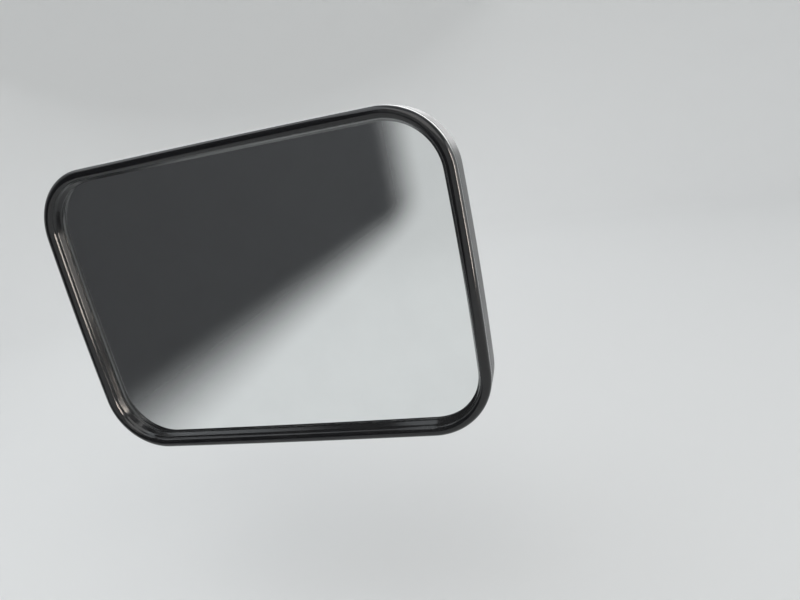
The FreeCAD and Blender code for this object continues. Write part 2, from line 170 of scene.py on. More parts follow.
@dataclass
class PieceMesh:
    """Collects the faces of one piece from rings of points."""

    name: str
    points: list[Vector] = field(default_factory=list)
    faces: list[tuple[int, ...]] = field(default_factory=list)

    def add_rings(self, rings: Sequence[Sequence[Vector]], closed: bool = True, looped: bool = False) -> "PieceMesh":
        """Joins rings of equal length with quads.

        Args:
            rings: The rings in order.
            closed: Whether each ring joins its own ends.
            looped: Whether the last ring joins the first. Otherwise both ends get a face.

        Returns:
            The same piece, so that calls can follow each other.
        """
        start = len(self.points)
        wide = len(rings[0])
        for ring in rings:
            self.points.extend(ring)
        for i in range(len(rings) if looped else len(rings) - 1):
            here = start + i * wide
            there = start + (i + 1) % len(rings) * wide
            for k in range(wide if closed else wide - 1):
                n = (k + 1) % wide
                self.faces.append((here + k, here + n, there + n, there + k))
        if not looped:
            self.faces.append(tuple(range(start, start + wide)))
            self.faces.append(tuple(range(start + (len(rings) - 1) * wide, start + len(rings) * wide)))
        if not closed:
            edge = [start + i * wide for i in range(len(rings))]
            self.faces.append(tuple(edge))
            self.faces.append(tuple(i + wide - 1 for i in edge))
        return self

    def add_turned(self, axis: Axis, rows: Rows, segments: int = 64, looped: bool = False,
                   span: Point2 | None = None) -> "PieceMesh":
        """Turns a profile round an axis.

        Args:
            axis: The axis.
            rows: Height and radius of each row. A radius may be a function of the angle.
            segments: Points of a full ring.
            looped: Whether the profile is closed, as for a ring with a bore.
            span: First and last angle of a piece that doesn't go all the way round.

        Returns:
            The same piece.
        """
        angles = spread(*span, segments) if span else spread(0.0, FULL, segments)[:-1]
        rings = [[axis.point(height, radius(angle) if callable(radius) else radius, angle) for angle in angles]
                 for height, radius in rows]
        return self.add_rings(rings, span is None, looped)

    def build(self) -> Piece:
        """Makes the object in metres, with its faces turned outward and its edges smooth below a limit.

        Returns:
            The object, linked to the scene.
        """
        mesh = bpy.data.meshes.new(self.name)
        mesh.from_pydata([point * MM for point in self.points], [], self.faces)
        body = bmesh.new()
        body.from_mesh(mesh)
        bmesh.ops.recalc_face_normals(body, faces=body.faces)
        body.to_mesh(mesh)
        body.free()
        made = bpy.data.objects.new(self.name, mesh)
        bpy.context.scene.collection.objects.link(made)
        shade(made)
        return made


def shade(made: Piece, limit: float = 32.0) -> None:
    """Shades a piece smooth, with sharp edges above an angle in degrees."""
    made.data.shade_smooth()
    made.data.set_sharp_from_angle(angle=math.radians(limit))


def turned(name: str, axis: Axis, rows: Rows, segments: int = 64, looped: bool = False) -> Piece:
    """Makes one turned piece."""
    return PieceMesh(name).add_turned(axis, rows, segments, looped).build()


def rod(name: str, axis: Axis, radius: float, span: Point2 = (-30.0, 30.0), segments: int = 64) -> Piece:
    """Makes a plain round rod between two heights, which by default reach through any part of the mirror's mount."""
    return turned(name, axis, [(height, radius) for height in span], segments)


def prism(name: str, plan: Sequence[Point2], bottom: float, top: float) -> Piece:
    """Makes a prism from plan points in X and Y, between two heights."""
    return PieceMesh(name).add_rings([[Vector((x, y, z)) for x, y in plan] for z in (bottom, top)]).build()


class Joining(Enum):
    """How a tool acts on a piece."""

    ADD = "UNION"
    CUT = "DIFFERENCE"


def settle(made: Piece) -> None:
    """Turns a piece's modifiers into its own mesh.

    Args:
        made: The piece.
    """
    graph = bpy.context.evaluated_depsgraph_get()
    graph.update()
    mesh = bpy.data.meshes.new_from_object(made.evaluated_get(graph))
    made.modifiers.clear()
    made.data = mesh


def combine(base: Piece, tools: Sequence[Piece], joining: Joining) -> None:
    """Joins tools to a piece, or cuts them out of it, and removes them.

    Args:
        base: The piece that is kept.
        tools: Closed pieces in the same place.
        joining: What each tool does.
    """
    for tool in tools:
        step = base.modifiers.new(tool.name, "BOOLEAN")
        step.object = tool
        step.operation = joining.value
        step.solver = "EXACT"
    settle(base)
    for tool in tools:
        bpy.data.meshes.remove(tool.data)


CAST_FACE = 0.62
CAST_ROUNDS = 5
ALL_SMOOTH = 180.0


def cast(made: Piece) -> None:
    """Gives a closed piece with sharp edges the soft edges of a casting: even faces, then a few smoothing rounds.

    Args:
        made: The piece.
    """
    remesh = made.modifiers.new("even", "REMESH")
    remesh.mode = "VOXEL"
    remesh.voxel_size = CAST_FACE * MM
    soften = made.modifiers.new("soften", "SMOOTH")
    soften.factor = 0.5
    soften.iterations = CAST_ROUNDS
    settle(made)
    shade(made, ALL_SMOOTH)


# Finishes


@dataclass(frozen=True)
class Nodes:
    """Short calls that add and join the nodes of one tree."""

    tree: bpy.types.NodeTree

    def add(self, kind: str, **values: object) -> bpy.types.Node:
        """Adds a node and sets its properties, or its inputs where the name is an input's.

        Args:
            kind: The node's type without its prefix.
            values: Properties by name, and inputs by name with _ for a space or by i and a number.

        Returns:
            The node.
        """
        node = self.tree.nodes.new("ShaderNode" + kind)
        waiting = {}
        for name, value in values.items():
            if hasattr(node, name):
                setattr(node, name, value)
            else:
                waiting[name] = value
        for name, value in waiting.items():
            key = int(name[1:]) if name[1:].isdigit() else name.replace("_", " ")
            self.put(node.inputs[key], value)
        return node

    def put(self, socket: Socket, value: object) -> None:
        """Links a socket to an input, or sets the input's value.

        Args:
            socket: The input.
            value: Another node's output, a number or a colour.
        """
        if isinstance(value, Socket):
            self.tree.links.new(value, socket)
        elif isinstance(value, tuple) and len(value) == 3 and socket.type == "RGBA":
            socket.default_value = (*value, 1.0)
        else:
            socket.default_value = value

    def maths(self, operation: str, a: object, b: object = 0.0, clamp: bool = False) -> Socket:
        """Result of a Math node."""
        return self.add("Math", operation=operation, use_clamp=clamp, i0=a, i1=b).outputs[0]

    def product(self, first: object, *others: object) -> object:
        """Product of values that lie between 0 and 1."""
        return self.product(self.maths("MULTIPLY", first, others[0]), *others[1:]) if others else first

    def ranged(self, value: object, start: float, end: float, to: float = 0.0, until: float = 1.0) -> Socket:
        """A value stretched from one range to another, smoothly, and kept inside it."""
        return self.add("MapRange", interpolation_type="SMOOTHSTEP", Value=value, From_Min=start, From_Max=end,
                        To_Min=to, To_Max=until).outputs[0]

    def noise(self, where: object, scale: object, detail: float, rough: float = 0.55) -> Socket:
        """Noise of that many waves per metre."""
        return self.add("TexNoise", Vector=where, Scale=scale, Detail=detail, Roughness=rough).outputs[0]

    def mixed(self, share: object, a: object, b: object) -> Socket:
        """Mix of two colours."""
        return self.add("Mix", data_type="RGBA", i0=share, i6=a, i7=b).outputs[2]


class Effect(Enum):
    """Shader effects that several finishes share."""

    DUST = "settled dust"
    WEAR = "worn edges"
    GRAIN = "surface grain"
    SCRATCHES = "fine scratches"


def new_effect(effect: Effect, inputs: Sequence[str],
               outputs: Sequence[str]) -> tuple[Nodes, bpy.types.Node, bpy.types.Node]:
    """Starts a node group for an effect.

    Args:
        effect: The effect.
        inputs: Names of its number inputs.
        outputs: Names of its number outputs.

    Returns:
        The group's nodes, then the node of its inputs and the node of its outputs.
    """
    tree = bpy.data.node_groups.new(effect.value, "ShaderNodeTree")
    for way, names in (("INPUT", inputs), ("OUTPUT", outputs)):
        for name in names:
            tree.interface.new_socket(name, in_out=way, socket_type="NodeSocketFloat")
    return Nodes(tree), tree.nodes.new("NodeGroupInput"), tree.nodes.new("NodeGroupOutput")


def make_dust() -> None:
    """Dust that lies on what faces up, in soft patches with fine specks."""
    nodes, given, out = new_effect(Effect.DUST, ["Amount"], ["Mask"])
    where = nodes.add("TexCoord").outputs
    facing = nodes.add("SeparateXYZ", Vector=where["Normal"]).outputs["Z"]
    lying = nodes.ranged(facing, 0.05, 0.9, 0.12)
    patches = nodes.ranged(nodes.noise(where["Object"], 34.0, 4.0), 0.35, 0.75, 0.25)
    specks = nodes.ranged(nodes.noise(where["Object"], 1400.0, 2.0, 0.5), 0.42, 0.72, 0.2)
    nodes.put(out.inputs["Mask"], nodes.product(lying, patches, specks, given.outputs["Amount"]))


def make_wear() -> None:
    """Rubbing on the edges that stand out, broken into patches."""
    nodes, given, out = new_effect(Effect.WEAR, ["Amount"], ["Mask"])
    where = nodes.add("TexCoord").outputs["Object"]
    past_flat = nodes.maths("SUBTRACT", nodes.add("NewGeometry").outputs["Pointiness"], 0.53)
    edge = nodes.maths("MULTIPLY", past_flat, 14.0, True)
    patches = nodes.ranged(nodes.noise(where, 160.0, 5.0, 0.65), 0.46, 0.62)
    nodes.put(out.inputs["Mask"], nodes.product(edge, patches, given.outputs["Amount"]))


def make_grain() -> None:
    """Pebbled relief and a faint change of tone, as on moulded plastic or a powder coat."""
    nodes, given, out = new_effect(Effect.GRAIN, ["Scale", "Softness"], ["Height", "Tone"])
    where = nodes.add("TexCoord").outputs["Object"]
    scale = given.outputs["Scale"]
    cells = nodes.add("TexVoronoi", feature="SMOOTH_F1", Vector=where, Scale=scale,
                      Smoothness=given.outputs["Softness"])
    pits = nodes.maths("MULTIPLY", cells.outputs[0], -0.6)
    nodes.put(out.inputs["Height"], nodes.maths("ADD", pits, nodes.noise(where, scale, 2.0, 0.5)))
    nodes.put(out.inputs["Tone"], nodes.noise(where, 45.0, 5.0))


def make_scratches() -> None:
    """Hairlines that run in two ways and break off."""
    nodes, given, out = new_effect(Effect.SCRATCHES, ["Amount"], ["Mask"])
    where = nodes.add("TexCoord").outputs["Object"]
    lines = []
    for turn, stretch in (((0.3, 0.5, 0.9), (1.0, 26.0, 26.0)), ((1.1, 0.2, -0.6), (24.0, 1.0, 24.0))):
        mapping = nodes.add("Mapping", Vector=where, Rotation=turn, Scale=stretch)
        waves = nodes.noise(mapping.outputs[0], 42.0, 2.0, 0.4)
        off = nodes.maths("ABSOLUTE", nodes.maths("SUBTRACT", waves, 0.5))
        lines.append(nodes.ranged(off, 0.012, 0.0))
    patches = nodes.ranged(nodes.noise(where, 30.0, 3.0), 0.48, 0.68)
    nodes.put(out.inputs["Mask"], nodes.product(nodes.maths("MAXIMUM", *lines), patches, given.outputs["Amount"]))


EFFECT_MAKERS = {Effect.DUST: make_dust, Effect.WEAR: make_wear, Effect.GRAIN: make_grain,
                 Effect.SCRATCHES: make_scratches}


def place_effect(nodes: Nodes, effect: Effect, **values: float) -> bpy.types.NodeOutputs:
    """Places an effect's group in a material.

    Args:
        nodes: The material's nodes.
        effect: The effect, whose group is made at its first use.
        values: Inputs of the group by name.

    Returns:
        The outputs of the group.
    """
    if effect.value not in bpy.data.node_groups:
        EFFECT_MAKERS[effect]()
    node = nodes.tree.nodes.new("ShaderNodeGroup")
    node.node_tree = bpy.data.node_groups[effect.value]
    for name, value in values.items():
        nodes.put(node.inputs[name], value)
    return node.outputs


BARE_METAL = (0.34, 0.335, 0.33)
BARE_METALLIC = 0.9
DUST_COLOUR = (0.36, 0.33, 0.29)
PALEST = 0.95


@dataclass(frozen=True)
class Finish:
    """One finish of the mirror, made once as a material.

    Colours are linear. The base colour is the record's own for the slot. The grain's depth is in millimetres.
    """

    slot: str
    metallic: float = 0.0
    roughness: float = 0.5
    rough_change: float = 0.08
    grain_scale: float = 2200.0
    grain_depth: float = 0.02
    grain_soft: float = 0.5
    tone_change: float = 0.25
    wear: float = 0.0
    dust: float = 0.25
    scratches: float = 0.0
    subsurface: float = 0.0

    def material(self) -> bpy.types.Material:
        """Gives the finish's material, made at its first use.

        Returns:
            The material.
        """
        name = "finish_" + self.slot
        if name in bpy.data.materials:
            return bpy.data.materials[name]
        made = bpy.data.materials.new(name)
        made.use_nodes = True
        nodes = Nodes(made.node_tree)
        base = slot_colour(self.slot)
        grain = place_effect(nodes, Effect.GRAIN, Scale=self.grain_scale, Softness=self.grain_soft)
        darker, lighter = (tuple(min(value * (1 + change), PALEST) for value in base)
                           for change in (-self.tone_change, self.tone_change))
        colour = nodes.mixed(nodes.ranged(grain["Tone"], 0.3, 0.7), darker, lighter)
        rough = nodes.ranged(grain["Tone"], 0.25, 0.75, self.roughness - self.rough_change,
                             self.roughness + self.rough_change)
        metal: object = self.metallic
        if self.wear:
            worn = place_effect(nodes, Effect.WEAR, Amount=self.wear)["Mask"]
            colour = nodes.mixed(worn, colour, BARE_METAL)
            metal = nodes.ranged(worn, 0.0, 1.0, self.metallic, BARE_METALLIC)
        if self.scratches:
            lines = place_effect(nodes, Effect.SCRATCHES, Amount=self.scratches)["Mask"]
            rough = nodes.maths("ADD", rough, nodes.maths("MULTIPLY", lines, 0.35), True)
        dusty = place_effect(nodes, Effect.DUST, Amount=self.dust)["Mask"]
        colour = nodes.mixed(dusty, colour, DUST_COLOUR)
        rough = nodes.maths("ADD", rough, nodes.maths("MULTIPLY", dusty, 0.5), True)
        bump = nodes.add("Bump", Height=grain["Height"], Strength=1.0, Distance=self.grain_depth * MM)
        for key, value in (("Base Color", colour), ("Roughness", rough), ("Metallic", metal),
                           ("Subsurface Weight", self.subsurface), ("Subsurface Scale", 2 * MM),
                           ("Normal", bump.outputs[0])):
            nodes.put(made.node_tree.nodes["Principled BSDF"].inputs[key], value)
        return made


COATED = Finish("coated_metal", roughness=0.42, rough_change=0.05, grain_scale=1500.0, grain_depth=0.035,
                grain_soft=0.9, tone_change=0.12, wear=0.55, dust=0.4)
RUBBER = Finish("liner", roughness=0.78, grain_scale=2600.0, grain_depth=0.03, dust=0.5)
ZINC = Finish("zinc", metallic=1.0, roughness=0.36, rough_change=0.06, grain_scale=3000.0, grain_depth=0.006,
              tone_change=0.16, dust=0.3, scratches=0.5)
BLACK_OXIDE = Finish("dark_screws", metallic=0.85, roughness=0.38, grain_scale=2600.0, grain_depth=0.01,
                     wear=0.5, dust=0.35)
TURNED_STEEL = Finish("bright_steel", metallic=1.0, roughness=0.2, rough_change=0.06, grain_scale=3600.0,
                      grain_depth=0.003, tone_change=0.08, dust=0.1, scratches=0.6)
NYLON = Finish("nylon", roughness=0.42, grain_scale=1500.0, grain_depth=0.01, tone_change=0.05, dust=0.15,
               subsurface=0.15)
HOUSING = Finish("housing", roughness=0.33, rough_change=0.04, grain_scale=1350.0, grain_depth=0.022,
                 tone_change=0.12, dust=0.22, scratches=0.1)
GLOSS_RIM = Finish("gloss_rim", roughness=0.11, rough_change=0.02, grain_scale=60.0, grain_depth=0.0005,
                   grain_soft=1.0, tone_change=0.06, dust=0.05, scratches=0.05)
MIRROR_FACE = Finish("mirror_face", metallic=1.0, roughness=0.01, rough_change=0.005, grain_scale=20.0,
                     grain_depth=0.0002, grain_soft=1.0, tone_change=0.012, dust=0.1, scratches=0.05)


@dataclass
class Assembly:
    """Pieces that are made together, and how each is handed to the frame."""

    body: str
    made: list[Piece] = field(default_factory=list)

    def dress(self, piece: Piece, node: str, finish: Finish) -> None:
        """Gives a piece its finish and its body, and hides the solid that it stands for.

        Args:
            piece: The piece, in its place at rest.
            node: The solid that it replaces.
            finish: Its finish.
        """
        piece.data.materials.clear()
        piece.data.materials.append(finish.material())
        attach(piece, self.body)
        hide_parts(node)
        self.made.append(piece)

    def report(self) -> None:
        """Logs each piece with its faces."""
        for piece in self.made:
            log.info("%s rides on %s, %d faces", piece.name, self.body, len(piece.data.polygons))


# Fasteners


BOLT_R = 4.0
BOLT_PITCH = 1.25
BOLT_HOLE_R = 4.2
NUT_FLATS = 13.0
RING_POINTS = 96


def hexagonal(across_flats: float) -> Shape:
    """Radius of a hexagon at an angle."""
    return lambda angle: across_flats / 2 / math.cos((angle + math.pi / 6) % (math.pi / 3) - math.pi / 6)


def hex_rows(across_flats: float, bottom: float, top: float, both: bool = True) -> Rows:
    """Rows of a hexagon whose corners are cut by a flat cone.

    Args:
        across_flats: Size of the hexagon.
        bottom: Height of its lower face.
        top: Height of its upper face.
        both: Whether the lower corners are cut too.

    Returns:
        The rows from the lower face to the upper.
    """
    shape = hexagonal(across_flats)
    face = across_flats * 0.475
    reach = across_flats / math.sqrt(3)
    drop = (reach - face) * math.tan(math.radians(27))
    cone = [(drop * k / 6, lambda angle, cap=face + (reach - face) * k / 6: min(shape(angle), cap)) for k in range(7)]
    lower = [(bottom + step, radius) for step, radius in cone] if both else [(bottom, shape)]
    return [*lower, *[(top - step, radius) for step, radius in reversed(cone)]]


def thread_rows(major: float, pitch: float, start: float, end: float) -> Rows:
    """Rows of a threaded shank that ends in a chamfer.

    Args:
        major: Outer radius of the thread.
        pitch: Distance between turns.
        start: Height where the thread runs in.
        end: Height of the shank's end.

    Returns:
        The rows from start to end.
    """
    depth = 0.55 * pitch
    count = max(int((end - start) / (pitch / 7)), 8)

    def ridge(height: float) -> Shape:
        """Radius all round at a height: the ridge, which fades in at the start and ends in the chamfer."""
        groove = depth * min((height - start) / pitch, 1.0)
        cone = major - depth * 1.1 + (end - height)
        return lambda angle: min(
            major - groove * max(0.0, 1.0 - abs((height / pitch + angle / FULL) % 1.0 - 0.5) * 2.6), cone)

    return [(height, ridge(height)) for height in spread(start, end, count)]


@dataclass(frozen=True)
class LockNut:
    """Lock nut with a round collar that holds a nylon ring. Its seat is at height zero."""

    height: float = 8.0
    hex_h: float = 5.6
    collar_r: float = 5.72
    inside_r: float = 4.12
    insert_h: float = 1.4

    def rows(self) -> Rows:
        """Rows of the steel."""
        collar = rounded([(self.hex_h, self.collar_r, 0), (self.height, self.collar_r, 0.9),
                          (self.height, self.inside_r + 0.1, 0.3), (self.height - 0.7, self.inside_r, 0)], closed=False)
        return [(0.0, BOLT_R + 0.6), *hex_rows(NUT_FLATS, 0.0, self.hex_h), *collar, (self.height - 0.8, BOLT_R),
                (0.6, BOLT_R)]

    def insert_rows(self) -> Rows:
        """Rows of the nylon ring."""
        top, inner = self.height - 0.35, BOLT_R + 0.05
        return rounded([(top, self.inside_r, 0.2), (top, inner, 0.3), (top - self.insert_h, inner, 0.2),
                        (top - self.insert_h, self.inside_r, 0.2)], steps=3)


@dataclass(frozen=True)
class SocketScrew:
    """Socket head screw with a fluted head. Height zero is under the head."""

    head_r: float = 6.5
    head_h: float = 8.0
    recess_af: float = 6.0
    recess_depth: float = 4.0
    plain: float = 10.0
    flutes: int = 44

    def fluted(self, depth: float) -> Shape:
        """Radius of the head's side with grooves of that depth."""
        return lambda angle: self.head_r - depth * (0.5 - 0.5 * math.cos(self.flutes * angle)) ** 2

    def rows(self, length: float) -> Rows:
        """Lists the rows from the recess round the head to the thread's end.

        Args:
            length: From under the head to the end.

        Returns:
            The rows.
        """
        top = -self.head_h
        recess = hexagonal(self.recess_af)
        mouth = self.recess_af / math.sqrt(3) + 0.25
        floor = top + self.recess_depth
        rows: Rows = [(floor + 0.9, 0.2), (floor, recess), (top + 0.3, recess), (top, mouth)]
        rows += rounded([(top, mouth, 0), (top, self.head_r - 0.5, 0.5), (top + 0.7, self.head_r, 0.3),
                         (top + 1.0, self.head_r, 0)], closed=False)[1:]
        rows += [(top + height, self.fluted(depth)) for height, depth in
                 ((1.3, 0.28), (2.0, 0.32), (self.head_h - 1.6, 0.32), (self.head_h - 0.9, 0.28))]
        rows += [(-0.5, self.head_r), (-0.2, self.head_r), (0.0, self.head_r - 0.25), (0.0, BOLT_R + 0.4),
                 (0.3, BOLT_R)]
        return rows + thread_rows(BOLT_R, BOLT_PITCH, self.plain, length)


def washer(name: str, axis: Axis, outer_r: float, thick: float, soft: float) -> Piece:
    """Makes a flat washer, punched, so its upper side has the softer edge.

    Args:
        name: Name of the piece.
        axis: From the washer's lower side up.
        outer_r: Its outer radius.
        thick: Its thickness.
        soft: Rounding of the upper edge, twice that of the lower.

    Returns:
        The piece.
    """
    inner_r = BOLT_R + 0.05
    rows = rounded([(0.0, inner_r, soft / 2), (0.0, outer_r, soft / 2), (thick, outer_r, soft),
                    (thick, inner_r, soft)], steps=3)
    return turned(name, axis, rows, 72, looped=True)


# Clamp


@dataclass
class ClampAssembly(Assembly):
    """Both halves of the tube clamp, their rubber liner, and the fasteners of the clamp and of the fold."""

    body: str = "clamp"
    liner_t: float = 2.5
    wall: float = 6.0
    flange_corner: float = 6.0
    band_w: float = 6.0
    band_edge: float = 4.0
    split_turn: float = 0.062
    washer_r: float = 8.0
    slip_t: float = 1.0
    fold_grip: float = 36.0


    def __post_init__(self) -> None:
        """Reads the clamp's sizes from its solids."""
        self.seat_r = TUBE_R + self.liner_t
        self.ring_r = self.seat_r + self.wall
        cap = high("clamp_cap")
        self.half_h, self.flange_y, self.gap = cap.z, cap.y, -cap.x
        self.screw_y = (self.ring_r + self.flange_y) / 2
        self.flange_x = low("clamp_nuts").x
        self.eye_r = high("clamp_saddle").x - FOLD.x
        self.ear_low = high("slip_washers").z

    def screw_axis(self, x: float, hand: int) -> Axis:
        """Axis of a clamp screw from a place along X, on the side that hand gives."""
        return Axis(Vector((x, hand * self.screw_y, 0)), X_AXIS, Y_AXIS)

    def half(self, name: str, side: int) -> Piece:
        """Makes the ring and flanges on one side of the split, before casting.

        Args:
            name: Name of the piece.
            side: 1 outboard, -1 inboard.

        Returns:
            The piece.
        """
        reach = QUARTER - math.asin(self.gap / self.ring_r)
        plan = [(side * x, y) for x, y in arc(self.ring_r, -reach, reach, 96)]
        ring = prism(name, plan, -self.half_h, self.half_h)
        outline = oblong((-self.flange_y, self.flange_y), (-self.half_h, self.half_h), self.flange_corner, 8)
        flange = PieceMesh("flange").add_rings([[Vector((side * x, y, z)) for y, z in outline]
                                                for x in (self.gap, self.flange_x)])
        combine(ring, [flange.build()], Joining.ADD)
        return ring

    def finish_half(self, piece: Piece, node: str) -> None:
        """Cuts the bore and the screw holes, and casts the piece.

        Args:
            piece: One half of the clamp.
            node: The solid that it replaces.
        """
        bore = rod("bore", Axis(Vector(), Z_AXIS, X_AXIS), self.seat_r, (-40.0, 40.0), 128)
        holes = [rod("hole", self.screw_axis(0.0, hand), BOLT_HOLE_R) for hand in (-1, 1)]
        combine(piece, [bore, *holes], Joining.CUT)
        cast(piece)
        self.dress(piece, node, COATED)

    def saddle(self) -> None:
        """Outboard half with the two ears of the fold, whose sides run tangent from the ring to the eye."""
        piece = self.half("clamp_saddle_casting", 1)
        lean = math.asin((self.ring_r - self.eye_r) / FOLD.x)
        x, y = self.ring_r * math.sin(lean), self.ring_r * math.cos(lean)
        start = self.flange_x / 2
        nose = arc(self.eye_r, QUARTER - lean, lean - QUARTER, 40, FOLD.x)
        plan = [(start, y), (x, y), *nose, (x, -y), (start, -y)]
        ears = [prism("ear", plan, bottom, bottom + self.half_h - self.ear_low)
                for bottom in (self.ear_low, -self.half_h)]
        combine(piece, ears, Joining.ADD)
        combine(piece, [rod("pin", FOLD_AXIS, BOLT_HOLE_R)], Joining.CUT)
        self.finish_half(piece, "clamp_saddle")

    def cap(self) -> None:
        """Inboard half with a raised band near each end."""
        piece = self.half("clamp_cap_casting", -1)
        proud = -low("clamp_cap").x
        span = math.acos(self.flange_x / proud)
        plan = arc(proud, math.pi - span, math.pi + span, 64)
        bands = [prism("band", plan, bottom, bottom + self.band_w)
                 for bottom in (self.band_edge - self.half_h, self.half_h - self.band_edge - self.band_w)]
        combine(piece, bands, Joining.ADD)
        self.finish_half(piece, "clamp_cap")

    def liner(self) -> None:
        """Two rubber half sleeves with lips over the clamp's ends."""
        top, lip_r = high("clamp_liner").z, high("clamp_liner").y
        lip = top - self.half_h
        upper = [(top - lip, self.seat_r, 0.2), (top - lip, lip_r, 0.5), (top, lip_r, 0.7), (top, TUBE_R, 0.5)]
        profile = rounded([*[(-z, radius, edge) for z, radius, edge in reversed(upper)], *upper], steps=4)
        reach = QUARTER - self.split_turn
        for side, name in ((1, "liner_outboard"), (-1, "liner_inboard")):
            axis = Axis(Vector(), Z_AXIS, X_AXIS * side)
            mesh = PieceMesh(name).add_turned(axis, profile, 72, looped=True, span=(-reach, reach))
            self.dress(mesh.build(), "clamp_liner", RUBBER)

    def nut(self, seat: Axis, node: str, body_name: str, insert_name: str) -> None:
        """Lock nut in two pieces.

        Args:
            seat: Axis of the nut, from its seat.
            node: The solid that both replace.
            body_name: Name of the steel piece.
            insert_name: Name of the nylon piece.
        """
        steel = turned(body_name, seat, LockNut().rows(), RING_POINTS, looped=True)
        self.dress(steel, node, ZINC)
        self.dress(turned(insert_name, seat, LockNut().insert_rows(), looped=True), node, NYLON)

    def fasteners(self) -> None:
        """Clamp screws with their lock nuts, and the fold bolt with its washers and lock nut."""
        screw = SocketScrew()
        rows = screw.rows(high("clamp_screws").x + self.flange_x)
        for hand, place in ((-1, "rear"), (1, "front")):
            axis = self.screw_axis(-self.flange_x, hand)
            self.dress(turned("clamp_screw_" + place, axis, rows, 6 * screw.flutes), "clamp_screws", ZINC)
            self.nut(self.screw_axis(self.flange_x, hand), "clamp_nuts", "clamp_nut_" + place, "nut_insert_" + place)
        self.fold_bolt()
        washer_t = high("fold_washers").z - self.half_h
        for sign, place in ((1, "top"), (-1, "bottom")):
            up = Z_AXIS * sign
            on_ear = Axis(FOLD + up * self.half_h, up, X_AXIS)
            steel = washer("fold_washer_" + place, on_ear, self.washer_r, washer_t, 0.35)
            self.dress(steel, "fold_washers", ZINC)
            under_ear = Axis(FOLD + up * (self.ear_low - self.slip_t), up, X_AXIS)
            slip = washer("slip_washer_" + place, under_ear, self.eye_r, self.slip_t, 0.2)
            self.dress(slip, "slip_washers", NYLON)

    def fold_bolt(self) -> None:
        """Hex bolt from the top, and its lock nut below."""
        seat = high("fold_washers").z
        head_h = high("fold_bolt").z - seat
        rows: Rows = [(0.25 - head_h, 0.3), (0.25 - head_h, 4.2), (-head_h, 4.8)]
        rows += [(-height, radius) for height, radius in reversed(hex_rows(NUT_FLATS, 0.35, head_h, both=False))]
        rows += [(-0.35, 6.1), (0.0, 6.1), (0.0, BOLT_R + 0.5), (0.4, BOLT_R)]
        rows += thread_rows(BOLT_R, BOLT_PITCH, self.fold_grip, seat - low("fold_bolt").z)
        down = Axis(FOLD + Z_AXIS * seat, -Z_AXIS, X_AXIS)
        self.dress(turned("fold_bolt_hex", down, rows, RING_POINTS), "fold_bolt", ZINC)
        self.nut(Axis(FOLD - Z_AXIS * seat, -Z_AXIS, X_AXIS), "fold_nut", "fold_lock_nut", "fold_nut_insert")

    def build(self) -> None:
        """Makes every piece of the clamp."""
        self.saddle()
        self.cap()
        self.liner()
        self.fasteners()


# Arm


